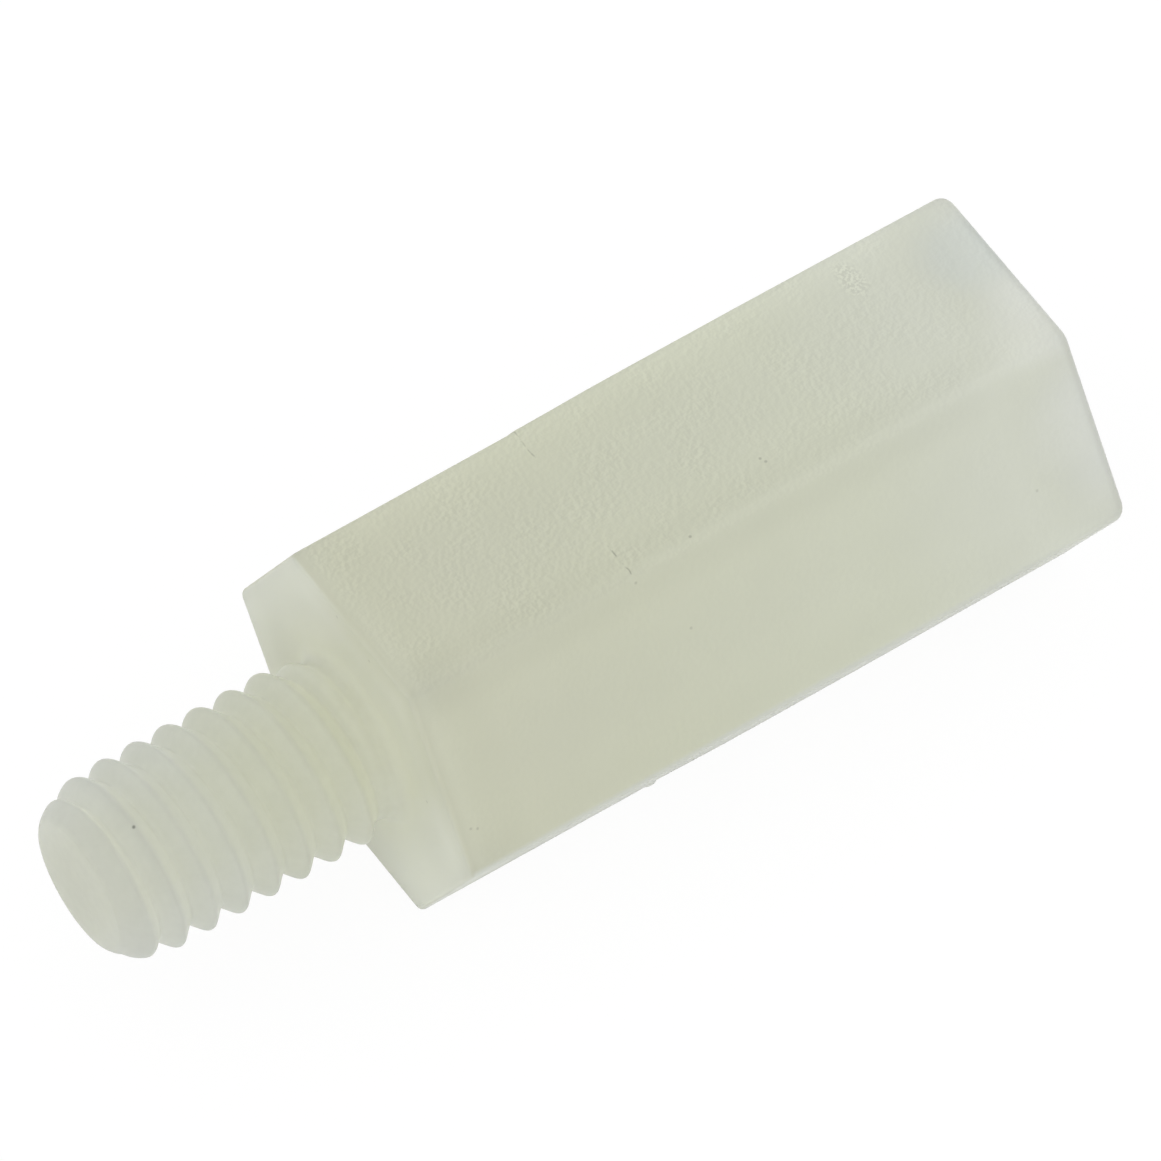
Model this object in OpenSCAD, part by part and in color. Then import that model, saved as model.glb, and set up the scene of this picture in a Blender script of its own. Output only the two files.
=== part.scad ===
// Hex standoff, moulded in one piece of natural nylon: a hexagon body, a threaded stud at one end
// and a tapped socket at the other. It lies on one flat, its axis along X and its stud towards -X.
// The thread itself is left plain: the stud is drawn at its crests, the socket at its tapping size.

/* [Hexagon] */
// Length of the hexagon, from the shoulder to the socket face
body_l = 15; // [11:0.5:60]
// Width across the flats, at the shoulder and at the socket face
across_flats = 7; // [6.2:0.1:12]
// Width of the land that breaks each long edge
edge_land = 0.2; // [0.05:0.05:0.5]
// Radius round the edges of the shoulder
shoulder_edge_r = 0.12; // [0.04:0.01:0.4]
// Radius round the edges of the socket face
socket_edge_r = 0.25; // [0.05:0.05:0.6]

/* [Mould] */
// Distance from the shoulder to the witness line, where the two halves of the mould meet
witness_x = 5; // [2:0.25:8]
// Fall of each flat of the socket half, from the witness line to the socket face
socket_draft = 0.04; // [0.02:0.01:0.2]
// Fall of each flat of the stud half, from the witness line to the shoulder
stud_draft = 0.01; // [0.005:0.005:0.1]

/* [Stud] */
// Diameter of the stud over its thread crests
stud_d = 3.9; // [3:0.1:4.5]
// Length of the stud, from the shoulder to its tip
stud_l = 6.15; // [3:0.05:20]
// Diameter of the flat at the tip
tip_d = 2.8; // [2.2:0.1:3.6]
// Radius of the rounded lead-in, from the full diameter to the tip
lead_r = 1; // [0.7:0.05:1.5]

/* [Socket] */
// Tapping diameter of the socket
socket_d = 3.3; // [2.5:0.1:4]
// Depth of the socket, from its face to the end of its straight wall
socket_depth = 8; // [4:0.5:10]
// Included angle of the cone that closes the socket
point_angle = 120; // [90:5:150]
// Diameter of the countersink in the socket face
countersink_d = 4.3; // [3.6:0.1:5.5]
// Included angle of the countersink
countersink_angle = 90; // [60:5:120]

/* [Hidden] */
$fn = 96;
nylon = [0.79, 0.8, 0.72];
// How far a cut runs past a face, and a joined piece runs into its neighbour
overrun = 0.5;
// Inset of a rounding's centre, as a share of its radius: its arc meets both faces at a slight angle
blend_share = 0.99;
// Longer than anything in the part
reach = body_l + stud_l + across_flats;
// The turn from one pair of flats to the next, and a hexagon's corner radius over its flat radius
flat_turn = 60;
corner_share = 1 / cos(flat_turn / 2);
flat_r = across_flats / 2;
// How far below the sharp corner the land on a long edge lies
land_drop = edge_land / 2 / tan(flat_turn);
stud_r = stud_d / 2;
tip_r = tip_d / 2;
// Centre of the lead-in's arc, which ends on the rim of the tip: its radius and its place on the axis
lead_centre_r = stud_r - blend_share * lead_r;
lead_centre_l = stud_l - sqrt(pow(lead_r, 2) - pow(tip_r - lead_centre_r, 2));
socket_r = socket_d / 2;
point_l = socket_r / tan(point_angle / 2);
countersink_r = countersink_d / 2;
countersink_l = (countersink_r - socket_r) / tan(countersink_angle / 2);

// All that a rounded corner keeps: what is left of its arc's centre, below it or inside the arc
module within_corner(centre, round_r) {
    translate([-reach, -reach]) square([reach + centre[0], 2 * reach]);
    translate([-reach, -reach]) square([2 * reach, reach + centre[1]]);
    translate(centre) circle(r = round_r);
}

// Side view of two opposite flats, from the parting plane at x = 0 to the end that they round into.
// The flats fall by draft over the length.
module flats_profile(length, draft, round_r) {
    inset = blend_share * round_r;
    centre = [length - inset, flat_r - inset];
    intersection() {
        polygon([
            [0, flat_r + draft],
            [length, flat_r],
            [length, -flat_r],
            [0, -flat_r - draft]
        ]);
        within_corner(centre, round_r);
        mirror([0, 1, 0]) within_corner(centre, round_r);
    }
}

// What one half of the mould forms: three pairs of flats, and a cone that breaks their long edges
module mould_half(length, draft, round_r) {
    intersection() {
        intersection_for (turn = [0 : flat_turn : 2 * flat_turn])
            rotate([90 + turn, 0, 0])
                linear_extrude(height = 2 * across_flats, center = true)
                    flats_profile(length, draft, round_r);
        rotate([0, 90, 0])
            cylinder(
                h = length,
                r1 = (flat_r + draft) * corner_share - land_drop,
                r2 = flat_r * corner_share - land_drop
            );
    }
}

// The hexagon, with its shoulder at x = 0 and the fine step of the witness line between its halves
module hexagon() {
    translate([witness_x, 0, 0]) {
        mould_half(body_l - witness_x, socket_draft, socket_edge_r);
        mirror([1, 0, 0]) mould_half(witness_x, stud_draft, shoulder_edge_r);
    }
}

// The stud, from inside the hexagon to its tip
module stud() {
    rotate([0, -90, 0])
        rotate_extrude()
            intersection() {
                translate([0, -overrun]) square([stud_r, overrun + stud_l]);
                within_corner([lead_centre_r, lead_centre_l], lead_r);
            }
}

// The hollow of the socket, from its countersunk mouth to its closing cone
module socket() {
    translate([body_l, 0, 0])
        rotate([0, -90, 0])
            rotate_extrude()
                polygon([
                    [0, -overrun],
                    [countersink_r, -overrun],
                    [countersink_r, 0],
                    [socket_r, countersink_l],
                    [socket_r, socket_depth],
                    [0, socket_depth + point_l]
                ]);
}

// The whole part, moved so that the middle of its underside is the origin
module standoff() {
    color(nylon)
        translate([(stud_l - body_l) / 2, 0, flat_r + max(stud_draft, socket_draft)])
            difference() {
                union() {
                    hexagon();
                    stud();
                }
                socket();
            }
}

standoff();
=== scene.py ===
# %% [markdown]
# A hex standoff in natural nylon
#
# The real part is one small moulding, 21 mm long: a hexagon that holds a circuit board off its base,
# a threaded stud at one end and a tapped hole at the other. It is made here as one closed surface, so
# that light can travel through it as it does through the real, slightly cloudy nylon.

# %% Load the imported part
import math

import bpy
import numpy as np
from mathutils import Matrix, Vector


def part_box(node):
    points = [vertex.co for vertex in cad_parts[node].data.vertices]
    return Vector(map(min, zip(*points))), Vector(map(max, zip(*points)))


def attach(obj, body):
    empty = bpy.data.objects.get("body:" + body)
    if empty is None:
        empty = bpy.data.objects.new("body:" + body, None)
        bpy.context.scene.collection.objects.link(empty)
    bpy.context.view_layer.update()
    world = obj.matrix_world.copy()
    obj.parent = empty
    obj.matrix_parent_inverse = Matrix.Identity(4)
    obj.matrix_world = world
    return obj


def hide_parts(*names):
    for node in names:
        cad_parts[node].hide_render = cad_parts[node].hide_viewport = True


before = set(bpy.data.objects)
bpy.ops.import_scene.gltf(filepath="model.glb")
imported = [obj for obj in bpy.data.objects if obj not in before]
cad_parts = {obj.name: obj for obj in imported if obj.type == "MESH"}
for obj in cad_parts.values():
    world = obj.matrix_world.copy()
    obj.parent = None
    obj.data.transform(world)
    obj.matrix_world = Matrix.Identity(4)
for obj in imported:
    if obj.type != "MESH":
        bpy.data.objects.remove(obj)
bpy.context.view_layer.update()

MM = 0.001
lowest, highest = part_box("standoff")
print("packed box in mm:", [round(v / MM, 3) for v in (*lowest, *highest)])

# %% [markdown]
# One frame for everything
#
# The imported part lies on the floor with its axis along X. Sizes in this file are in millimetres, and
# places along the axis are measured from the shoulder, the step where the stud leaves the hexagon:
# below zero is the stud, above zero is the hexagon. The lengths are those that the part was packed with,
# so the surface drops straight into its place.

# %% Sizes along the axis
STUD_L = 6.15
BODY_L = 15.0
AXIS_Z = (lowest.z + highest.z) / 2 / MM
SHOULDER_X = lowest.x / MM + STUD_L
print("shoulder at x", round(SHOULDER_X, 3), "and axis at z", round(AXIS_Z, 3))

# %% [markdown]
# The angles round the axis
#
# The surface is a net of rows along the part and columns round it. On a hexagon the columns crowd at
# the six long edges, where the surface turns quickly, and spread over the flats, where it doesn't.
# Round the stud and in the hole they are even. The two settings meet on the flat faces at the ends,
# where a column may slant without showing.

# %% Columns round the axis
COLUMNS = 216
SECTOR = math.radians(60)
CROWD_SHARES = (0, 0.3, 0.36, 0.64, 0.7, 1)
CROWD_DEGREES = (-30, -3.4, -2.4, 2.4, 3.4, 30)


def even_turns():
    """Angles with the same step between neighbours, starting on the middle of a flat."""
    return 2 * math.pi * np.arange(COLUMNS) / COLUMNS - SECTOR / 2


def edge_turns():
    """Angles for the hexagon. The even angle inside each 60 degree sector is sent through a broken
    line that is slow near the corner in the sector's middle and fast over the flats at its sides."""
    step = np.arange(COLUMNS) * 6 / COLUMNS
    sector = np.floor(step)
    return np.radians(np.interp(step - sector, CROWD_SHARES, CROWD_DEGREES)) + sector * SECTOR


print("columns:", COLUMNS, "closest step in degrees:", np.degrees(np.diff(edge_turns())).min().round(3))

# %% [markdown]
# The hexagon's section
#
# Cut across, the body is a hexagon whose corners are rounded a little, because a moulding never leaves
# its tool with a knife edge. In polar form that is one formula for a flat and one for a corner, so a
# whole ring of points comes from a single call.

# %% Rounded hexagon as a polar curve
FLAT_R = 3.5
LONG_EDGE_R = 0.22


def hexagon_radius(turn, flat_r, edge_r):
    """Distance from the axis to a rounded hexagon, in the direction turn. On a flat it is flat_r over
    the cosine of the angle from the flat's middle. Near a corner it is where the ray leaves a circle
    of radius edge_r that touches both flats."""
    from_corner = np.abs((turn + SECTOR / 2) % SECTOR - SECTOR / 2)
    from_flat = SECTOR / 2 - from_corner
    on_flat = flat_r * np.tan(from_flat) <= (flat_r - edge_r) * math.tan(SECTOR / 2)
    centre = (flat_r - edge_r) / math.cos(SECTOR / 2)
    reach = np.maximum(edge_r**2 - (centre * np.sin(from_corner)) ** 2, 0)
    return np.where(on_flat, flat_r / np.cos(from_flat), centre * np.cos(from_corner) + np.sqrt(reach))


corner_r = hexagon_radius(np.zeros(1), FLAT_R, LONG_EDGE_R)[0]
print("across flats:", 2 * FLAT_R, "across corners:", round(2 * corner_r, 3))

# %% [markdown]
# The threads
#
# Both threads are right-hand M4, one turn every 0.7 mm. A helix is easy in this net: the height of the
# thread depends only on how far a point is from the nearest crest, and the crest moves along the axis
# by one pitch for each turn. A moulded thread has straight flanks and no sharp lines, so a wave that is
# a triangle with softened corners does for it.

# %% Thread height
PITCH = 0.7
CREST_PLACE = -5.39
CREST_TURN = math.radians(31.6)
SOFTNESS = 0.03


def ease(share):
    """A share from 0 to 1, eased at both ends: 3 share squared less 2 share cubed."""
    share = np.clip(share, 0, 1)
    return share * share * (3 - 2 * share)


def thread_height(place, turn):
    """Height of the thread from 0 at the root to 1 at the crest, at a place along the axis. The phase
    counts turns from the crest. The arc cosine of a cosine is a triangle wave. The cosine is first made
    a little smaller, which softens the corners, and the wave is then stretched to reach from 0 to 1."""
    phase = (place - CREST_PLACE) / PITCH - (turn - CREST_TURN) / (2 * math.pi)
    wave = np.arccos((1 - SOFTNESS) * np.cos(2 * math.pi * phase)) / math.pi
    least = math.acos(1 - SOFTNESS) / math.pi
    return 1 - (wave - least) / (1 - 2 * least)


print("turns of thread on the stud:", round(STUD_L / PITCH, 1))

# %% [markdown]
# Tip and lead-in
#
# The tip of the stud is a flat disc with a soft rim, and it reaches a little further than the packed
# stud. A rounded lead-in widens it, so that a nut finds the thread. Where the lead-in meets the thread
# the smaller of the two is taken, but a plain minimum would leave a crease, so the corner is rounded.

# %% Lead-in
TIP_R = 1.383
TIP_REACH = 0.104
TIP_AT = -STUD_L - TIP_REACH
RIM_BACK = 0.03
LEAD_SLOPE = 0.81
LEAD_SWELL = 0.044
LEAD_SWELL_L = 0.05


def lead_in(place):
    """Radius of the lead-in behind the rim of the tip: a slope, and a swell that comes up to its full
    height by an exponential, so the lead-in starts steep."""
    behind = place - TIP_AT - RIM_BACK
    return TIP_R + LEAD_SLOPE * behind + LEAD_SWELL * (1 - np.exp(-behind / LEAD_SWELL_L))


def soft_least(a, b, width):
    """The smaller of two heights, with the corner where they cross rounded off: where they are nearer
    than the width, a quarter of the width times the square of their nearness is taken away."""
    near = np.clip(1 - np.abs(a - b) / width, 0, 1)
    return np.minimum(a, b) - width * near * near / 4


print("tip at", round(TIP_AT, 3), "mm from the shoulder")

# %% [markdown]
# The thread from end to end
#
# The picture shows the first crests of the stud low and its first groove a little deeper. Both are sizes
# that change along the axis, so they go into the same formula as the thread. At the other end the thread
# runs out just short of the shoulder.

# %% Radius of the stud
CREST_R = 1.93
ROOT_R = 1.615
LOW_CREST = 0.149
LOW_CREST_AT = -4.95
LOW_CREST_L = 0.8
LOW_CREST_POWER = 1.5
CREST_SOFT = 0.06
LEAD_SOFT = 0.13
FIRST_DIP = 0.045
FIRST_DIP_AT = -5.55
FIRST_DIP_L = 0.15
RUN_OUT_AT = -0.85
RUN_OUT_L = 0.65
RUN_OUT_LOSS = 0.85


def stud_radius(place, turn):
    """Radius of the stud: the least of the thread, the lowered first crests and the lead-in, with soft
    corners. The thread loses most of its height over the run-out, and its first groove is deepened, most
    of all at the root. The first crests fall with the power 1.5 of the way towards the tip."""
    height = thread_height(place, turn)
    kept = 1 - RUN_OUT_LOSS * ease((place - RUN_OUT_AT) / RUN_OUT_L)
    dip = FIRST_DIP * (1 - height) * ease((FIRST_DIP_AT - place) / FIRST_DIP_L)
    thread = ROOT_R + (CREST_R - ROOT_R) * kept * height - dip
    early = np.clip((LOW_CREST_AT - place) / LOW_CREST_L, 0, 2)
    low_crests = CREST_R - LOW_CREST * early**LOW_CREST_POWER
    soft = CREST_SOFT + (LEAD_SOFT - CREST_SOFT) * np.clip(early, 0, 1)
    return soft_least(soft_least(thread, low_crests, soft), lead_in(place), LEAD_SOFT)


print("thread depth in mm:", round(CREST_R - ROOT_R, 3))

# %% [markdown]
# From the tip to the shoulder
#
# The rows of the stud start at the middle of the tip and end in a hollow rounding that joins the stud to
# the shoulder. A moulded tip is never quite true: this one is a hair out of square and off the axis.

# %% Stud rows
DISC_SHARES = np.array([0.2, 0.4, 0.6, 0.75, 0.84, 0.9, 0.95, 0.98])
RIM_STEPS = np.array([0, 0.012, 0.03])
RIM_L = 0.05
RIM_POWER = 8
THREAD_ROWS = 172
ROOT_FILLET = 0.3
FILLET_ROWS = 9
TIP_TILT = -0.014
TIP_SHIFT = (0.017, 0.008)
TIP_ZONE_AT = -5.9
TIP_ZONE_L = 0.25


def stud_rows(turn):
    """Places and radii from the middle of the tip to the shoulder: a disc whose rim bends back with the
    eighth power of the radius, the rings of the thread, and the hollow rounding, which lifts the last
    rings by its radius less the height of its arc."""
    place = np.concatenate([
        TIP_AT + RIM_BACK + RIM_STEPS,
        np.linspace(TIP_AT + RIM_BACK + RIM_L, -ROOT_FILLET, THREAD_ROWS),
        -ROOT_FILLET * np.cos(np.linspace(0, math.pi / 2, FILLET_ROWS + 1)[1:]),
    ])
    ring_place, ring_turn = np.meshgrid(place, turn, indexing="ij")
    into = np.clip(ring_place + ROOT_FILLET, 0, ROOT_FILLET)
    lift = ROOT_FILLET - np.sqrt(ROOT_FILLET**2 - into**2)
    disc_place = TIP_AT + RIM_BACK * DISC_SHARES**RIM_POWER
    disc_r = TIP_R * DISC_SHARES
    ring_r = stud_radius(ring_place, ring_turn) + lift
    places = np.concatenate([np.repeat(disc_place[:, None], COLUMNS, 1), ring_place])
    radii = np.concatenate([np.repeat(disc_r[:, None], COLUMNS, 1), ring_r])
    return places, radii, np.repeat(turn[None, :], len(places), 0)


def set_tip(places, radii, turns):
    """The rows with the tip out of square. By a share that grows towards the tip, a point moves along
    the axis by the tilt times its distance to the side, and outwards by the shift in its direction."""
    share = np.clip((TIP_ZONE_AT - places) / TIP_ZONE_L, 0, 1)
    shift = TIP_SHIFT[0] * np.cos(turns) + TIP_SHIFT[1] * np.sin(turns)
    tilt = TIP_TILT * radii * np.cos(turns)
    return places + share * tilt, radii * (1 + share * shift / TIP_R), turns


stud = set_tip(*stud_rows(even_turns()))
print("stud rows:", len(stud[0]), "widest radius:", stud[1].max().round(3))

# %% [markdown]
# The hexagon, out of two halves of a mould
#
# The tool closed on a line a third of the way along, and each half of it is a little tapered so that
# the part comes out. A very fine step is left where they met. Nylon that crept into the joint of the
# tool stands out there as a fine ridge of flash, with one thicker scrap on a low edge.

# %% Flats and flash
WITNESS = 5.03
NEAR_TAPER = 0.01
WITNESS_STEP = 0.012
SWELL = 0.026
SWELL_L = 2.2
FALL = 0.75
FALL_AT = 9.5
FALL_L = 5.5
FLASH_H = 0.0015
FLASH_L = 0.035
FLASH_WAVES = (5, 13)
FLASH_PHASE = 1
SCRAP_H = 0.05
SCRAP_L = 0.07
SCRAP_OFF = 0.02
SCRAP_AT = 229
SCRAP_HALF = 4.5


def flat_distance(place):
    """Distance of the flats from the axis: a very slow taper in the stud's half, and beyond the
    witness line a small step, then a low swell that falls off again towards the far face."""
    near = FLAT_R + NEAR_TAPER * place / WITNESS
    swell = ease((place - WITNESS) / SWELL_L) - FALL * ease((place - FALL_AT) / FALL_L)
    far = FLAT_R + WITNESS_STEP + SWELL * swell
    return np.where(place < WITNESS, near, far)


def flash(place, turn):
    """A ridge of flash on the witness line: a bell across the line, times an uneven wave round the axis,
    and a short thicker scrap, which is a flat-topped bell round the axis and a wide one across. The
    uneven wave is one plus the product of two sines with different numbers of waves to the turn."""
    from_line = place - WITNESS
    ridge = np.exp(-((from_line / FLASH_L) ** 2))
    few, many = FLASH_WAVES
    wave = FLASH_H + FLASH_H * np.sin(few * turn + FLASH_PHASE) * np.sin(many * turn)
    scrap = np.exp(-(((np.degrees(turn) - SCRAP_AT) / SCRAP_HALF) ** 4))
    wide = np.exp(-(((from_line - SCRAP_OFF) / SCRAP_L) ** 2))
    return ridge * wave + SCRAP_H * scrap * wide


print("step at the witness line in mm:", round(WITNESS_STEP - NEAR_TAPER, 3))

# %% [markdown]
# Rows of the hexagon
#
# The edges of the shoulder are nearly crisp, those of the far face are rounder. Rows are close together
# at both ends and at the witness line, and far apart where the flats are straight.

# %% Hexagon rows
SHOULDER_EDGE_R = 0.12
SOCKET_EDGE_R = 0.25
END_ROWS = 9
NEAR_ROWS = [0.16, 0.3, 0.7, 1.5, 2.5, 3.5, 4.3, 4.7, 4.85]
WITNESS_ROWS = np.linspace(4.91, 5.15, 13)
FAR_ROWS = [5.2, 5.3, 5.5, 5.8, 6.1, 6.5, 7, 7.5, 8, 9, 10, 11, 12, 13, 14, 14.5, 14.7]
WORN_EDGE = 0.2
WORN_AT = 14.3
WORN_L = 0.6
LEAST_EDGE_R = 0.03


def hexagon_rows(turn):
    """Places and radii from the shoulder's edge to the edge of the far face. Each end is a quarter
    circle: its place runs in by the radius less its cosine, and the section shrinks to match. The long
    edges get rounder by an eased share close to the far face."""
    quarter = np.linspace(0, math.pi / 2, END_ROWS)
    middle = np.concatenate([NEAR_ROWS, WITNESS_ROWS, FAR_ROWS])
    start = SHOULDER_EDGE_R * (1 - np.cos(quarter))
    start_inset = SHOULDER_EDGE_R * (1 - np.sin(quarter))
    finish = BODY_L - SOCKET_EDGE_R * (1 - np.cos(quarter[::-1]))
    finish_inset = SOCKET_EDGE_R * (1 - np.sin(quarter[::-1]))
    inset = np.concatenate([start_inset, np.zeros(len(middle)), finish_inset])
    places, turns = np.meshgrid(np.concatenate([start, middle, finish]), turn, indexing="ij")
    insets = np.repeat(inset[:, None], COLUMNS, 1)
    edge_r = LONG_EDGE_R + WORN_EDGE * ease((places - WORN_AT) / WORN_L) - insets
    radii = hexagon_radius(turns, flat_distance(places) - insets, np.maximum(edge_r, LEAST_EDGE_R))
    return places, radii + flash(places, turns), turns


hexagon = hexagon_rows(edge_turns())
print("hexagon rows:", len(hexagon[0]), "widest radius:", hexagon[1].max().round(3))

# %% [markdown]
# The tapped hole
#
# The far face can't be seen in the picture that this part is made from, so it has what such parts have:
# a countersunk mouth, a thread of the same pitch, a short plain length where the tap or core stopped,
# and a cone that closes the hole.

# %% Socket rows
BORE_R = 1.65
GROOVE_R = 2.02
MOUTH_R = 2.15
SOCKET_DEPTH = 8.0
PLAIN_L = 0.5
FADE_OUT_L = 0.7
CONE_L = 0.953
CONE_SHARES = np.array([0.8, 0.55, 0.3, 0.12])
MOUTH_L = 0.55
MOUTH_ROWS = 12
BORE_FROM = 0.62
BORE_ROWS = 104


def socket_rows(turn):
    """Places and radii from the mouth to the end of the hole: the larger of the thread's groove and
    the countersink, the groove fading out near the bottom, then a straight cone to the axis."""
    bottom = BODY_L - SOCKET_DEPTH
    place = np.concatenate([
        np.linspace(BODY_L, BODY_L - MOUTH_L, MOUTH_ROWS),
        np.linspace(BODY_L - BORE_FROM, bottom, BORE_ROWS),
    ])
    places, turns = np.meshgrid(place, turn, indexing="ij")
    kept = ease((places - bottom - PLAIN_L) / FADE_OUT_L)
    groove = BORE_R + (GROOVE_R - BORE_R) * kept * (1 - thread_height(places, turns))
    radii = np.maximum(groove, MOUTH_R - (BODY_L - places))
    cone = bottom - CONE_L * (1 - CONE_SHARES)
    places = np.concatenate([places, np.repeat(cone[:, None], COLUMNS, 1)])
    radii = np.concatenate([radii, np.repeat(BORE_R * CONE_SHARES[:, None], COLUMNS, 1)])
    return places, radii, np.repeat(turn[None, :], len(places), 0)


socket = socket_rows(even_turns())
print("socket rows:", len(socket[0]))

# %% [markdown]
# The two flat faces
#
# A face is all the space between two rings: the last ring of the stud and the first of the hexagon, or
# the last of the hexagon and the first of the hole. Each row on it is a share of the way from one ring
# to the other, and the angles change over in step.

# %% Rows across a face
FACE_STEPS = 12


def face_rows(inner_ring, outer_ring, shares):
    """Rows between two rings. Place, radius and angle each go from the first ring to the second by a
    share, all three in the same step."""
    return tuple(a[None, :] + shares[:, None] * (b - a)[None, :] for a, b in zip(inner_ring, outer_ring))


shares = np.linspace(0, 1, FACE_STEPS + 1)[1:-1]
shoulder = face_rows([part[-1] for part in stud], [part[0] for part in hexagon], shares)
end_face = face_rows([part[-1] for part in hexagon], [part[0] for part in socket], shares)
rows = [np.concatenate(parts) for parts in zip(stud, shoulder, hexagon, end_face, socket)]
print("rows in all:", len(rows[0]))

# %% [markdown]
# From rows to points
#
# In the picture the stud's half lies about two hundredths of a millimetre further forward and lower than
# the other, as happens where two halves of a mould don't quite line up. So everything short of the witness
# line slips a little that way. Then each place, radius and angle becomes a point, and two more points on
# the axis will close the ends.

# %% Points
MISMATCH = 0.018
MISMATCH_L = 0.2
MISMATCH_TURN = math.radians(211.6)
places, radii, turns = rows
slip = MISMATCH * ease((WITNESS - places) / MISMATCH_L + 0.5)
x = places + SHOULDER_X
y = radii * np.cos(turns) + slip * math.cos(MISMATCH_TURN)
z = AXIS_Z + radii * np.sin(turns) + slip * math.sin(MISMATCH_TURN)
net = np.stack([x, y, z], axis=-1).reshape(-1, 3)
ends = np.array([
    [SHOULDER_X + TIP_AT, y[0].mean(), z[0].mean()],
    [SHOULDER_X + BODY_L - SOCKET_DEPTH - CONE_L, 0, AXIS_Z],
])
points = np.concatenate([net, ends]) * MM
print("points:", len(points))

# %% [markdown]
# The mesh
#
# Neighbouring points become quads, and a fan of triangles closes each end on the axis. The columns run
# round the axis in the same sense everywhere, so every face looks outwards, in the hole as well.

# %% Build the standoff
number = np.arange(len(net)).reshape(len(places), COLUMNS)
beside = np.roll(number, -1, axis=1)
quads = np.stack([number[:-1], beside[:-1], beside[1:], number[1:]], axis=-1).reshape(-1, 4)
tip_fan = np.stack([np.full(COLUMNS, len(net)), beside[0], number[0]], axis=-1)
bore_fan = np.stack([np.full(COLUMNS, len(net) + 1), number[-1], beside[-1]], axis=-1)
mesh = bpy.data.meshes.new("standoff_moulding")
mesh.from_pydata(points.tolist(), [], quads.tolist() + tip_fan.tolist() + bore_fan.tolist())
mesh.polygons.foreach_set("use_smooth", np.ones(len(mesh.polygons), bool))
mesh.update()
moulding = bpy.data.objects.new("standoff_moulding", mesh)
bpy.context.scene.collection.objects.link(moulding)
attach(moulding, "root")
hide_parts("standoff")
print("triangles:", 2 * len(quads) + 2 * COLUMNS)

# %% [markdown]
# Natural nylon
#
# Unpigmented nylon is a pale, slightly green cream. Light goes some way into it and comes out again
# elsewhere, which is why its threads have hardly any shade. Subsurface scattering does that. Thick
# material looks yellower and a little darker, thin walls and ends look paler and bluer. The finish is a
# sum of small effects, each made by a few nodes, so a handful of helpers comes first.

# %% Node helpers
def add(tree, kind, **settings):
    """A node of one kind, with the settings given by name."""
    made = tree.nodes.new(kind)
    for name, value in settings.items():
        setattr(made, name, value)
    return made


def feed(tree, sockets, values):
    """Values for a node's sockets, in their order: another node's socket is linked, a number is set."""
    for socket, value in zip(sockets, values):
        if isinstance(value, bpy.types.NodeSocket):
            tree.links.new(value, socket)
        else:
            socket.default_value = value


def calc(tree, operation, *values):
    """One step of arithmetic on sockets or numbers."""
    node = add(tree, "ShaderNodeMath", operation=operation)
    feed(tree, node.inputs, values)
    return node.outputs[0]


def move(tree, operation, *values):
    """One step of arithmetic on places or colours."""
    node = add(tree, "ShaderNodeVectorMath", operation=operation)
    feed(tree, node.inputs, values)
    return node.outputs["Value" if operation == "LENGTH" else "Vector"]


def total(tree, amounts):
    """The sum of any number of amounts."""
    result = amounts[0]
    for amount in amounts[1:]:
        result = calc(tree, "ADD", result, amount)
    return result


def times(tree, *shares):
    """The product of any number of shares."""
    result = shares[0]
    for share in shares[1:]:
        result = calc(tree, "MULTIPLY", result, share)
    return result


# %% [markdown]
# Shares
#
# Nearly every effect is a share between 0 and 1 that says how much of it there is at a point. A share
# comes from a value, such as a place along the axis, by a fade from where it is 0 to where it is 1.

# %% Share helpers
def fade(tree, value, zero_at, one_at):
    """A value made into a share: 0 at one end, 1 at the other, eased between and held beyond."""
    node = add(tree, "ShaderNodeMapRange", interpolation_type="SMOOTHSTEP")
    feed(tree, node.inputs, (value, zero_at, one_at, 0.0, 1.0))
    return node.outputs[0]


def zone(tree, value, rise, fall):
    """A share that comes up over one stretch of a value and goes down again over another."""
    return times(tree, fade(tree, value, *rise), fade(tree, value, *fall))


def between(tree, share, low, high):
    """A number between two, by a share: the low one, and the share times the difference."""
    return calc(tree, "MULTIPLY_ADD", share, high - low, low)


def blend(tree, share, first, second):
    """A colour between two, by a share."""
    node = add(tree, "ShaderNodeMix", data_type="RGBA")
    feed(tree, (node.inputs[0], node.inputs[6], node.inputs[7]), (share, first, second))
    return node.outputs[2]


# %% [markdown]
# Where a point lies
#
# The finish changes along the part and from flat to flat, so the material first finds out where the
# point being shaded lies: in millimetres, along the axis from the shoulder, and from the axis.

# %% Place helpers
ENDLESS = 1e6
SPOT_EDGE = (1.0, 0.3)


def place_nodes(tree):
    """The point in mm as a vector from the middle of the shoulder, and its three parts."""
    coordinates = add(tree, "ShaderNodeTexCoord")
    scale = add(tree, "ShaderNodeMapping")
    scale.inputs["Scale"].default_value = (1 / MM, 1 / MM, 1 / MM)
    scale.inputs["Location"].default_value = (-SHOULDER_X, 0, -AXIS_Z)
    tree.links.new(coordinates.outputs["Object"], scale.inputs["Vector"])
    parts = add(tree, "ShaderNodeSeparateXYZ")
    tree.links.new(scale.outputs["Vector"], parts.inputs["Vector"])
    return scale.outputs["Vector"], *parts.outputs


def reach(tree, vector, centre, sizes):
    """Distance from a centre, counted in a size of its own along each axis."""
    return move(tree, "LENGTH", move(tree, "DIVIDE", move(tree, "SUBTRACT", vector, centre), sizes))


def spot(tree, vector, centre, sizes):
    """A soft spot: 1 at its centre, falling to 0 at its size along each axis."""
    return fade(tree, reach(tree, vector, centre, sizes), *SPOT_EDGE)


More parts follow.
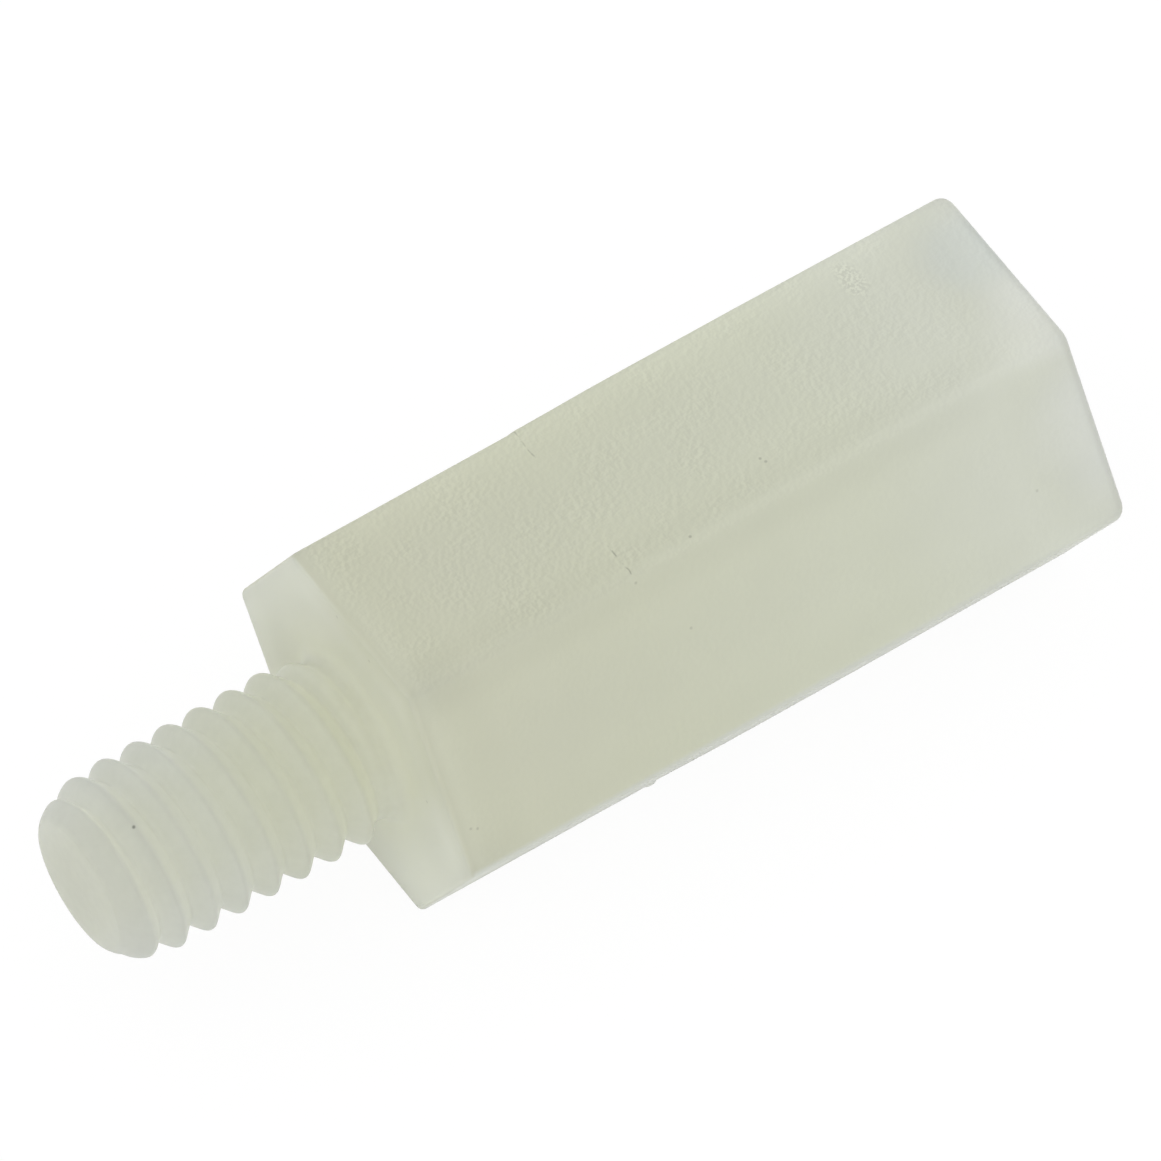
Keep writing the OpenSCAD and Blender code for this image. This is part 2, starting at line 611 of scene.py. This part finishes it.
def toward(tree, across, height, degrees):
    """How far a point lies from the axis in one direction: its two parts, times the cosine and the sine
    of the direction's angle."""
    turn = math.radians(degrees)
    return total(tree, [times(tree, across, math.cos(turn)), times(tree, height, math.sin(turn))])


def flat_reach(tree, across, height):
    """Distance from the axis as a hexagon measures it: the largest of the three distances towards its
    pairs of flats, so it is the same all along the edge of the shoulder."""
    pairs = [calc(tree, "ABSOLUTE", toward(tree, across, height, turn)) for turn in (90, 150, 210)]
    return calc(tree, "MAXIMUM", calc(tree, "MAXIMUM", pairs[0], pairs[1]), pairs[2])


# %% [markdown]
# Patterns
#
# Two patterns serve for all the rest: a soft noise, for everything irregular, and a row of colours along
# the axis, for everything that changes from end to end.

# %% Pattern helpers
SOFT_LAYERS = 1.0
FINE_LAYERS = 2.0


def noise(tree, vector, scale, detail):
    """Soft noise about a half, with so many waves to the millimetre and so many finer layers."""
    node = add(tree, "ShaderNodeTexNoise")
    node.inputs["Scale"].default_value = scale
    node.inputs["Detail"].default_value = detail
    tree.links.new(vector, node.inputs["Vector"])
    return node.outputs[0]


def tint_along(tree, along, tints):
    """A colour that changes along the axis, through (place in mm, colour) stops."""
    first, last = tints[0][0], tints[-1][0]
    share = add(tree, "ShaderNodeMapRange")
    feed(tree, share.inputs, (along, first, last, 0.0, 1.0))
    ramp = add(tree, "ShaderNodeValToRGB")
    for place, colour in tints[1:-1]:
        ramp.color_ramp.elements.new((place - first) / (last - first))
    for stop, (place, colour) in zip(ramp.color_ramp.elements, tints):
        stop.color = (*colour, 1)
    tree.links.new(share.outputs[0], ramp.inputs["Fac"])
    return ramp.outputs["Color"]


# %% [markdown]
# One nylon
#
# The whole part is one material. Its light travels 2 mm, about as far as the wall is thick, and blue
# light a little less far than red and green. The surface has a weak, soft gloss.

# %% The nylon
DEPTH = 2.0
BLUE_DEPTH = 0.8 * DEPTH
NYLON_IOR = 1.53
GLOSS = 0.15
nylon = bpy.data.materials.new("natural_nylon")
nylon.use_nodes = True
tree = nylon.node_tree
shader = tree.nodes["Principled BSDF"]
shader.subsurface_method = "BURLEY"
shader.inputs["Subsurface Weight"].default_value = 1.0
shader.inputs["Subsurface Radius"].default_value = (DEPTH, DEPTH, BLUE_DEPTH)
shader.inputs["Subsurface Scale"].default_value = MM
shader.inputs["IOR"].default_value = NYLON_IOR
shader.inputs["Specular IOR Level"].default_value = GLOSS
mesh.materials.append(nylon)
print("light travels so many mm:", DEPTH)

# %% [markdown]
# Colour along the part
#
# Near the stud the hexagon is solid, and it looks yellowish green there. Beyond its middle it is a tube
# round the hole, and the paler, bluer colour towards the open end is painted light, the glow of light
# that passes through the thin wall. The stud's own colour is written deeper, because so much light comes
# out of a thin, ridged piece, and along the stud the stops are painted paler or deeper to even out its
# shading. A row of colours along the axis says so.

# %% Colour along the part
# Painted light: the pale, bluish stops at the far end stand for light through the thin wall.
TINTS_AND_LIGHT = [
    (-6.24, (0.531, 0.545, 0.468)),
    (-6.2, (0.500, 0.513, 0.448)),
    (-5.85, (0.486, 0.499, 0.436)),
    (-5.7, (0.478, 0.491, 0.430)),
    (-5.5, (0.472, 0.485, 0.426)),
    (-4.0, (0.474, 0.488, 0.429)),
    (-2.5, (0.473, 0.486, 0.404)),
    (-1.2, (0.492, 0.504, 0.420)),
    (-0.3, (0.512, 0.522, 0.444)),
    (0.0, (0.52, 0.53, 0.425)),
    (0.6, (0.53, 0.54, 0.432)),
    (1.6, (0.575, 0.585, 0.465)),
    (5.0, (0.59, 0.605, 0.48)),
    (10.0, (0.615, 0.635, 0.52)),
    (13.0, (0.639, 0.659, 0.573)),
    (14.2, (0.602, 0.622, 0.548)),
    (15.0, (0.60, 0.615, 0.55)),
]
vector, along, across, height = place_nodes(tree)
from_axis = reach(tree, vector, (0, 0, 0), (ENDLESS, 1, 1))
to_flat = flat_reach(tree, across, height)
colour = tint_along(tree, along, TINTS_AND_LIGHT)
print("colours along the part:", len(TINTS_AND_LIGHT))

# %% [markdown]
# The shoulder
#
# The shoulder has the colour of the flats round its front, where the stud and the solid end lie behind
# it, and it is painted paler at its two sides, the high one and the low one, as painted light.

# %% Shoulder: front and sides
SHOULDER_FRONT = (0.577, 0.589, 0.492, 1)
SHOULDER_SIDE_LIGHT = (0.605, 0.622, 0.540, 1)
SIDE_TURN = 31.6
FACE_RISE = (-0.15, 0.0)
FACE_FALL = (0.06, 0.01)
HIGH_SIDE = (1.7, 3.0)
LOW_SIDE = (-1.4, -2.8)
on_shoulder = zone(tree, along, FACE_RISE, FACE_FALL)
aside = toward(tree, across, height, SIDE_TURN)
to_high = fade(tree, aside, *HIGH_SIDE)
to_low = fade(tree, aside, *LOW_SIDE)
# Painted light: the shoulder's two sides are painted paler.
shoulder_light_colour = blend(tree, calc(tree, "ADD", to_high, to_low), SHOULDER_FRONT, SHOULDER_SIDE_LIGHT)
colour = blend(tree, on_shoulder, colour, shoulder_light_colour)
print("nodes so far:", len(tree.nodes))

# %% [markdown]
# The shoulder's edge and the lower side
#
# The edge of the shoulder is hardly seen, because a translucent edge is filled with light from both of
# its faces: a slightly deeper tint there, mostly on the upper half, keeps the edge from lighting up. The
# flat that looks down to the side gets light back from the table and is paler.

# %% Hexagon: shoulder's edge and lower side
SHOULDER_EDGE = (0.50, 0.51, 0.40, 1)
LOWER_SIDE = (0.625, 0.645, 0.58, 1)
UPPER_TURN = 120
LOWER_TURN = 210
EDGE_OUT = (2.7, 3.4)
EDGE_ALONG = (0.35, 0.05)
EDGE_SHARE = 0.75
LESS_HIGH = -0.55
LESS_LOW = -0.25
UPPER_HALF = (1.2, 2.0)
LOWER_HALF_SHARE = 0.35
ON_LOWER_SIDE = (3.4, 3.5)
PAST_EDGE = (0.0, 0.1)
edge_zone = times(tree, fade(tree, to_flat, *EDGE_OUT), fade(tree, along, *EDGE_ALONG))
edge_share = total(tree, [times(tree, to_high, LESS_HIGH), times(tree, to_low, LESS_LOW), EDGE_SHARE])
upper_half = fade(tree, toward(tree, across, height, UPPER_TURN), *UPPER_HALF)
edge_share = times(tree, edge_share, between(tree, upper_half, LOWER_HALF_SHARE, 1.0))
colour = blend(tree, times(tree, edge_zone, edge_share), colour, SHOULDER_EDGE)
lower_side = fade(tree, toward(tree, across, height, LOWER_TURN), *ON_LOWER_SIDE)
colour = blend(tree, times(tree, lower_side, fade(tree, along, *PAST_EDGE)), colour, LOWER_SIDE)
print("nodes so far:", len(tree.nodes))

# %% [markdown]
# The pale end
#
# The last millimetre of the tube passes the most light, and that glow is painted light. It is painted
# whitish over the flats, where the wall is thinnest, and keeps its green at the corners. On the upper flat
# a bluish patch, a nearly white corner beside it and one pale spot on the flat round that corner are
# painted light too.

# %% Hexagon: pale end
PALE_END_GLOW = (0.63, 0.65, 0.62, 1)
PALE_CORNER_GLOW = (0.70, 0.715, 0.67, 1)
BLUE_GLOW = (0.57, 0.605, 0.575, 1)
THIN_ALONG = (13.6, 14.7)
THIN_OUT = (3.95, 3.55)
THIN_SHARE = 0.6
CORNER_SPOT = ((14.9, -1.5, 3.5), (1.9, 1.5, 0.5))
CORNER_SHARE = 0.42
SIDE_SPOT = ((14.1, -2.9, 2.0), (0.9, 1.1, 1.1))
SIDE_SHARE = 0.25
BLUE_SPOT = ((14.5, 0.7, 3.5), (1.3, 1.3, 1.0))
BLUE_SHARE = 0.65
# Painted light: the glow of light through the thin end of the tube.
thin_wall_glow = times(tree, fade(tree, along, *THIN_ALONG), fade(tree, from_axis, *THIN_OUT), THIN_SHARE)
colour = blend(tree, thin_wall_glow, colour, PALE_END_GLOW)
corner_glow = times(tree, spot(tree, vector, *CORNER_SPOT), CORNER_SHARE)
side_glow = times(tree, spot(tree, vector, *SIDE_SPOT), SIDE_SHARE)
colour = blend(tree, calc(tree, "ADD", corner_glow, side_glow), colour, PALE_CORNER_GLOW)
blue_glow_patch = times(tree, spot(tree, vector, *BLUE_SPOT), BLUE_SHARE)
colour = blend(tree, blue_glow_patch, colour, BLUE_GLOW)
print("nodes so far:", len(tree.nodes))

# %% [markdown]
# The stud
#
# The stud is painted paler and bluer at its two sides, the high one and the low one: painted light along
# them. The left lamp would favour the flanks that look to the tip, so the others are written a little
# paler, which leaves the threads hardly any shade.
# A flank is found from the same phase that made the thread.

# %% Stud: sides and flanks
UNCHANGED = (1, 1, 1, 1)
STUD_SIDES_LIGHT = (1.055, 1.055, 1.10, 1)
ON_STUD = (0.02, -0.12)
TO_SIDES = (0.5, 1.75)
FLANK = 0.024
FLANK_TURN = math.radians(-105)
FLANK_RISE = (-5.6, -5.3)
FLANK_FALL = (-0.2, -1.0)
on_stud = fade(tree, along, *ON_STUD)
# Painted light: the stud's two sides are painted paler and bluer.
stud_side_light = times(tree, on_stud, fade(tree, calc(tree, "ABSOLUTE", aside), *TO_SIDES))
colour = move(tree, "MULTIPLY", colour, blend(tree, stud_side_light, UNCHANGED, STUD_SIDES_LIGHT))
advance = calc(tree, "MULTIPLY", calc(tree, "SUBTRACT", along, CREST_PLACE), 2 * math.pi / PITCH)
wound = calc(tree, "SUBTRACT", calc(tree, "ARCTAN2", height, across), CREST_TURN)
from_crest = calc(tree, "SUBTRACT", advance, wound)
flanks = calc(tree, "COSINE", calc(tree, "ADD", from_crest, FLANK_TURN))
flanks = times(tree, flanks, zone(tree, along, FLANK_RISE, FLANK_FALL), FLANK)
print("nodes so far:", len(tree.nodes))

# %% [markdown]
# The first flank and the last groove
#
# The first flank behind the tip gathers light and is toned down. The groove before the shoulder, and the
# hollow rounding in it, lie in the corner between stud and shoulder and are lifted.

# %% Stud: first flank and last groove
BEHIND_TIP = -0.04
BEHIND_TIP_TURN = math.radians(-125)
BEHIND_TIP_WAVE = (0.4, 1.0)
BEHIND_TIP_RISE = (-6.1, -5.95)
BEHIND_TIP_FALL = (-5.3, -5.5)
LAST_GROOVE = 0.042
LAST_GROOVE_SLANT = -0.018
LAST_GROOVE_RISE = (-0.8, -0.45)
LAST_GROOVE_FALL = (0.0, -0.12)
HOLLOW = 0.035
HOLLOW_RISE = (-0.32, -0.2)
HOLLOW_FALL = (-0.04, -0.14)
behind_tip = calc(tree, "COSINE", calc(tree, "ADD", from_crest, BEHIND_TIP_TURN))
behind_tip = times(tree, fade(tree, behind_tip, *BEHIND_TIP_WAVE), BEHIND_TIP)
behind_tip = times(tree, behind_tip, zone(tree, along, BEHIND_TIP_RISE, BEHIND_TIP_FALL))
last_groove = calc(tree, "MULTIPLY_ADD", aside, LAST_GROOVE_SLANT, LAST_GROOVE)
last_groove = times(tree, last_groove, zone(tree, along, LAST_GROOVE_RISE, LAST_GROOVE_FALL))
hollow = times(tree, zone(tree, along, HOLLOW_RISE, HOLLOW_FALL), HOLLOW)
# Painted light and shade on the thread, the first flank and the last groove.
thread_light_and_shade = total(tree, [flanks, behind_tip, last_groove, hollow])
print("nodes so far:", len(tree.nodes))

# %% [markdown]
# Where the grain is
#
# The upper flat has a fine pebbled grain, such as a spark-eroded mould leaves, strong near the stud and
# fading towards the far end. It is weaker right at the long edge, and patchy. The other flats have only
# a trace of it, and the stud has none.

# %% Hexagon: share of grain
UPPER_CORNER = (0, -2.02, 3.5)
TOP_FLAT = (3.38, 3.46)
TOP_ALONG = (14.6, 10.0)
TOP_GRAIN = (0.4, 0.8)
OFF_EDGE = (0.05, 0.3)
EDGE_GRAIN = (0.4, 1.0)
PATCH = 1.1
PATCH_NOISE = (0.3, 0.7)
PATCH_GRAIN = (0.55, 1.45)
TRACE = 0.2
GRAIN_START = (0.0, 0.4)
on_top = fade(tree, height, *TOP_FLAT)
top_share = times(tree, on_top, between(tree, fade(tree, along, *TOP_ALONG), *TOP_GRAIN))
off_edge = fade(tree, reach(tree, vector, UPPER_CORNER, (ENDLESS, 1, 1)), *OFF_EDGE)
top_share = times(tree, top_share, between(tree, off_edge, *EDGE_GRAIN))
patches = between(tree, fade(tree, noise(tree, vector, PATCH, SOFT_LAYERS), *PATCH_NOISE), *PATCH_GRAIN)
grain_share = times(tree, calc(tree, "ADD", top_share, TRACE), patches, fade(tree, along, *GRAIN_START))
print("nodes so far:", len(tree.nodes))

# %% [markdown]
# Grain
#
# Each pebble is paler on the side that it turns to the light and greyer on the other, so the pattern is a
# noise less the same noise moved over by a few hundredths of a millimetre. A bump with the same noise
# roughens the surface too.

# %% Hexagon: grain
GRAIN = 9.5
GRAIN_LAYERS = 1.5
GRAIN_HEIGHT = 0.006
GRAIN_LIGHT_AND_SHADE = 0.085
GRAIN_SIDES = (-0.22, 0.22)
LIT_SIDE = (0.028, -0.020, 0)
ROUGHNESS = (0.40, 0.52)
pebbles = noise(tree, vector, GRAIN, GRAIN_LAYERS)
moved = noise(tree, move(tree, "ADD", vector, LIT_SIDE), GRAIN, GRAIN_LAYERS)
# Painted light and shade: each pebble's lit side paler, its other side greyer.
pebble_sides = fade(tree, calc(tree, "SUBTRACT", pebbles, moved), *GRAIN_SIDES)
grain_light_and_shade = times(tree, calc(tree, "SUBTRACT", pebble_sides, 0.5), grain_share, GRAIN_LIGHT_AND_SHADE)
bump = add(tree, "ShaderNodeBump")
bump.inputs["Distance"].default_value = GRAIN_HEIGHT * MM
tree.links.new(times(tree, pebbles, grain_share), bump.inputs["Height"])
tree.links.new(bump.outputs["Normal"], shader.inputs["Normal"])
tree.links.new(between(tree, grain_share, *ROUGHNESS), shader.inputs["Roughness"])
print("pebbles to the mm:", GRAIN)

# %% [markdown]
# Long edges
#
# A long edge is painted a little deeper in tone in the near half, painted shade that keeps the
# translucent edge from lighting up. In the far half the edge towards the front has a painted highlight,
# a thin pale line.

# %% Hexagon: long edges
LONG_EDGE_SHADE = -0.055
LONG_EDGE_OUT = (3.58, 3.98)
SEEN_SIDE = (1.9, 0.3)
BESIDE_CORNER_SHADE = -0.03
BESIDE_CORNER_R = 0.9
PAST_SHOULDER = (0.05, 0.5)
SHORT_OF_END = (14.2, 12.5)
EDGE_HIGHLIGHT = 0.03
EDGE_HIGHLIGHT_R = 0.13
EDGE_HIGHLIGHT_FROM = (5.1, 5.6)
# Painted shade along the long edges.
long_edge_shade = times(tree, fade(tree, from_axis, *LONG_EDGE_OUT), fade(tree, across, *SEEN_SIDE), LONG_EDGE_SHADE)
beside_corner = spot(tree, vector, UPPER_CORNER, (ENDLESS, BESIDE_CORNER_R, BESIDE_CORNER_R))
edge_shade = calc(tree, "ADD", long_edge_shade, times(tree, beside_corner, BESIDE_CORNER_SHADE))
edge_shade = times(tree, edge_shade, zone(tree, along, PAST_SHOULDER, SHORT_OF_END))
# Painted highlight: a thin pale line on the far half of the front edge.
edge_highlight = spot(tree, vector, UPPER_CORNER, (ENDLESS, EDGE_HIGHLIGHT_R, EDGE_HIGHLIGHT_R))
edge_highlight = times(tree, edge_highlight, fade(tree, along, *EDGE_HIGHLIGHT_FROM), EDGE_HIGHLIGHT)
print("nodes so far:", len(tree.nodes))

# %% [markdown]
# Ends
#
# The rim of the far face is darker and slightly grey on the side towards the front. The front flat is
# painted a touch deeper at that end, as painted shade. The shoulder is painted a touch paler close round
# the stud and at its lowest corner, painted light where the stud and the floor would shade it.

# %% Hexagon: ends
FAR_RIM = -0.09
RIM_ALONG = (14.74, 14.9)
RIM_OUT = (3.28, 3.42)
RIM_FRONT_ACROSS = (1.9, 1.0)
RIM_FRONT_HEIGHT = (-0.5, 0.5)
AROUND_STUD_LIGHT = 0.035
AROUND_STUD_R = (2.9, 2.2)
LOW_CORNER_LIGHT = 0.11
LOW_CORNER_HEIGHT = (0.0, -2.5)
FRONT_TURN = 150
ON_FRONT = (3.38, 3.46)
FRONT_END_SHADE = -0.025
FRONT_END_ALONG = (13.2, 14.5)
rim_front = times(tree, fade(tree, across, *RIM_FRONT_ACROSS), fade(tree, height, *RIM_FRONT_HEIGHT))
rounding = times(tree, fade(tree, along, *RIM_ALONG), fade(tree, to_flat, *RIM_OUT))
# The far rim is darker and slightly grey on its front side.
far_rim = times(tree, rounding, rim_front, FAR_RIM)
# Painted light round the stud and at the shoulder's lowest corner; painted shade at the front flat's end.
around_stud_light = times(tree, on_shoulder, fade(tree, from_axis, *AROUND_STUD_R), AROUND_STUD_LIGHT)
low_corner_light = times(tree, on_shoulder, fade(tree, height, *LOW_CORNER_HEIGHT), LOW_CORNER_LIGHT)
on_front = fade(tree, toward(tree, across, height, FRONT_TURN), *ON_FRONT)
front_end_shade = times(tree, on_front, fade(tree, along, *FRONT_END_ALONG), FRONT_END_SHADE)
edges = total(tree, [edge_shade, edge_highlight, far_rim, around_stud_light, low_corner_light, front_end_shade])
print("nodes so far:", len(tree.nodes))

# %% [markdown]
# Specks
#
# A few dark specks were caught in the nylon. Each is a tiny soft spot, given by its place and by how dark
# it is. The one in the stud is drawn out a little in depth.

# %% Specks
SPECK_SIZES = (0.045, 0.045, 0.045)
SPECKS = [
    (4.42, -1.98, 3.53, 0.28),
    (6.42, -1.93, 3.53, 0.28),
    (8.52, -1.17, 3.53, 0.28),
    (8.57, -1.29, 3.53, 0.28),
    (0.29, -3.59, 0.83, 0.22),
    (0.42, -3.62, 0.77, 0.22),
    (5.80, -2.84, 2.11, 0.18),
    (13.35, -3.36, 1.22, 0.16),
    (5.05, -2.13, 3.34, 0.18),
    (0.0, 0.44, 3.28, 0.20),
    (0.0, -0.65, 3.11, 0.20),
    (0.0, -2.51, 0.69, 0.20),
    (0.03, -2.0, -3.45, 0.40),
]
STUD_SPECK = ((-5.26, -0.54, 1.77), (0.05, 0.05, 0.12))
STUD_SPECK_DARK = 0.6
specks = [times(tree, spot(tree, vector, *STUD_SPECK), -STUD_SPECK_DARK)]
for *centre, darkness in SPECKS:
    specks.append(times(tree, spot(tree, vector, centre, SPECK_SIZES), -darkness))
print("specks:", len(specks))

# %% [markdown]
# Hairline and scuff
#
# Two short stretches of the witness line are dark, as a broken hairline that wanders a little. One small
# scuff lies near the far end of the upper flat, a cluster of scratches both paler and darker. Both are
# made from noise, cut off at a level and kept to their place by a share.

# %% Hexagon: hairline and scuff
WANDER = 0.12
WANDER_SCALE = 3.0
HAIRLINE = -0.28
HAIRLINE_AT = WITNESS + 0.01
HAIRLINE_HALF = (0.024, 0.006)
BREAKS_SCALE = 5.0
BREAKS = (0.43, 0.55)
FRONT_STRETCH = (-1.1, -1.25)
BACK_STRETCH = (1.2, 1.3)
BACK_SHARE = 0.9
SCUFF = 0.17
SCUFF_SPOT = ((12.3, 1.35, 3.5), (0.36, 0.7, 1.0))
SCRATCH_SCALE = 15.0
SCRATCHES = (0.42, 0.6)
wander = times(tree, calc(tree, "SUBTRACT", noise(tree, vector, WANDER_SCALE, SOFT_LAYERS), 0.5), WANDER)
from_line = calc(tree, "SUBTRACT", calc(tree, "ADD", along, wander), HAIRLINE_AT)
line = fade(tree, calc(tree, "ABSOLUTE", from_line), *HAIRLINE_HALF)
broken = fade(tree, noise(tree, vector, BREAKS_SCALE, FINE_LAYERS), *BREAKS)
front_stretch = times(tree, on_top, fade(tree, across, *FRONT_STRETCH))
back_stretch = times(tree, on_top, fade(tree, across, *BACK_STRETCH), BACK_SHARE)
hairline = times(tree, line, broken, calc(tree, "ADD", front_stretch, back_stretch), HAIRLINE)
scratches = fade(tree, noise(tree, vector, SCRATCH_SCALE, FINE_LAYERS), *SCRATCHES)
scuff = times(tree, spot(tree, vector, *SCUFF_SPOT), calc(tree, "SUBTRACT", scratches, 0.5), SCUFF)
marks = total(tree, [*specks, hairline, scuff])
print("nodes so far:", len(tree.nodes))

# %% [markdown]
# All of it together
#
# Each effect is a small share, more or less, of the colour underneath. Their sum, with a slow mottle of
# one or two parts in a hundred and finer streaks on the stud, is applied to the colour once.

# %% Final colour
LIFT = 0.02
MOTTLE = 0.04
MOTTLE_SCALE = 0.7
STREAKS = 0.08
STREAKS_SCALE = 5.0
mottle = times(tree, calc(tree, "SUBTRACT", noise(tree, vector, MOTTLE_SCALE, FINE_LAYERS), 0.5), MOTTLE)
streaks = calc(tree, "SUBTRACT", noise(tree, vector, STREAKS_SCALE, FINE_LAYERS), 0.5)
streaks = times(tree, streaks, on_stud, STREAKS)
shade = total(tree, [thread_light_and_shade, grain_light_and_shade, edges, marks, mottle, streaks, LIFT])
tree.links.new(move(tree, "MULTIPLY_ADD", colour, shade, colour), shader.inputs["Base Color"])
print("nodes in the nylon:", len(tree.nodes))

# %% [markdown]
# Floor
#
# The part lies on a plain white sheet. It is one square, so much larger than the part that none of its
# edges comes near the picture.

# %% Floor
FLOOR_HALF = 1.5
sheet = bpy.data.meshes.new("floor")
corners = FLOOR_HALF * np.array([[-1, -1, 0], [1, -1, 0], [1, 1, 0], [-1, 1, 0]])
sheet.from_pydata(corners.tolist(), [], [[0, 1, 2, 3]])
floor = bpy.data.objects.new("floor", sheet)
bpy.context.scene.collection.objects.link(floor)
print("floor in m:", 2 * FLOOR_HALF)

# %% [markdown]
# The white of the sheet
#
# What the camera sees of the sheet is mostly its own whiteness, so the background is clean, and the rest
# is real shading, so the part keeps a faint shadow. The sheet also glows a little, as translucent plastic
# with light under it does.

# %% White sheet
SHEET_COLOUR = (0.9, 0.9, 0.9, 1)
SHEET_ROUGHNESS = 0.9
WHITENESS = 1.03
SEEN_WHITE = 0.9
GLOW = 0.25
paper = bpy.data.materials.new("white_sheet")
paper.use_nodes = True
tree = paper.node_tree
plain = tree.nodes["Principled BSDF"]
plain.inputs["Base Color"].default_value = SHEET_COLOUR
plain.inputs["Roughness"].default_value = SHEET_ROUGHNESS
plain.inputs["Specular IOR Level"].default_value = 0.0
white = add(tree, "ShaderNodeEmission")
white.inputs["Strength"].default_value = WHITENESS
path = add(tree, "ShaderNodeLightPath")
straight = calc(tree, "MAXIMUM", path.outputs["Is Camera Ray"], path.outputs["Is Glossy Ray"])
seen = calc(tree, "MAXIMUM", straight, path.outputs["Is Transmission Ray"])
own_white = calc(tree, "MAXIMUM", calc(tree, "MULTIPLY", seen, SEEN_WHITE), GLOW)
both = add(tree, "ShaderNodeMixShader")
feed(tree, both.inputs, (own_white, plain.outputs["BSDF"], white.outputs["Emission"]))
tree.links.new(both.outputs["Shader"], tree.nodes["Material Output"].inputs["Surface"])
sheet.materials.append(paper)
print("share of its own white that is seen:", SEEN_WHITE)

# %% [markdown]
# Light
#
# A light tent: an even white sky, which with the white sheet lights every side alike, and two large
# soft lamps that give the ends a little more.

# %% World and lamps
SKY = 0.885
LAMP_SIZE = 240
LAMP_AIM = (0, 0, 3)
LEFT_AT = (-300, -60, 90)
LEFT_POWER = 0.1
FRONT_AT = (-60, -300, 110)
FRONT_POWER = 0.04
world = bpy.data.worlds.new("tent")
bpy.context.scene.world = world
world.use_nodes = True
sky = world.node_tree.nodes["Background"]
sky.inputs["Color"].default_value = (1, 1, 1, 1)
sky.inputs["Strength"].default_value = SKY


def soft_lamp(name, place, power):
    """A square lamp at a place in mm, turned to face the point that the lamps are aimed at."""
    lamp = bpy.data.lights.new(name, "AREA")
    lamp.size = LAMP_SIZE * MM
    lamp.energy = power
    made = bpy.data.objects.new(name, lamp)
    turn = (Vector(LAMP_AIM) - Vector(place)).to_track_quat("-Z", "Y").to_matrix().to_4x4()
    made.matrix_world = Matrix.Translation(Vector(place) * MM) @ turn
    bpy.context.scene.collection.objects.link(made)
    return made


lamps = [soft_lamp("left_lamp", LEFT_AT, LEFT_POWER), soft_lamp("front_lamp", FRONT_AT, FRONT_POWER)]
print("lamps:", [lamp.name for lamp in lamps])

# %% [markdown]
# Camera
#
# A long lens from above and to one side, as a maker's catalogue would have it. The camera stands far
# off, so the hexagon's long edges run nearly parallel.

# %% Camera
PICTURE = 1161
FOCAL_PIXELS = 21127
SENSOR = 36
NEAREST = 0.01
FURTHEST = 10
DISTANCE = 400.0
AZIMUTH = math.radians(-31.96)
ELEVATION = math.radians(54.15)
ROLL = math.radians(-2.09)
ASIDE = 4.27
ABOVE = 2.90
towards = Vector((
    math.sin(AZIMUTH) * math.cos(ELEVATION),
    -math.cos(AZIMUTH) * math.cos(ELEVATION),
    math.sin(ELEVATION),
))
level = Vector((math.cos(AZIMUTH), math.sin(AZIMUTH), 0))
upright = towards.cross(level)
right = math.cos(ROLL) * level + math.sin(ROLL) * upright
up = -math.sin(ROLL) * level + math.cos(ROLL) * upright
stand = Vector((SHOULDER_X, 0, AXIS_Z)) + DISTANCE * towards + ASIDE * right + ABOVE * up
view = bpy.data.cameras.new("catalogue_camera")
view.sensor_width = SENSOR
view.lens = FOCAL_PIXELS / PICTURE * SENSOR
view.clip_start = NEAREST
view.clip_end = FURTHEST
camera = bpy.data.objects.new("catalogue_camera", view)
axes = Matrix((right, up, towards)).transposed().to_4x4()
camera.matrix_world = Matrix.Translation(stand * MM) @ axes
bpy.context.scene.collection.objects.link(camera)
bpy.context.scene.camera = camera
bpy.context.scene.view_settings.view_transform = "Standard"
print("lens in mm:", round(view.lens, 1))
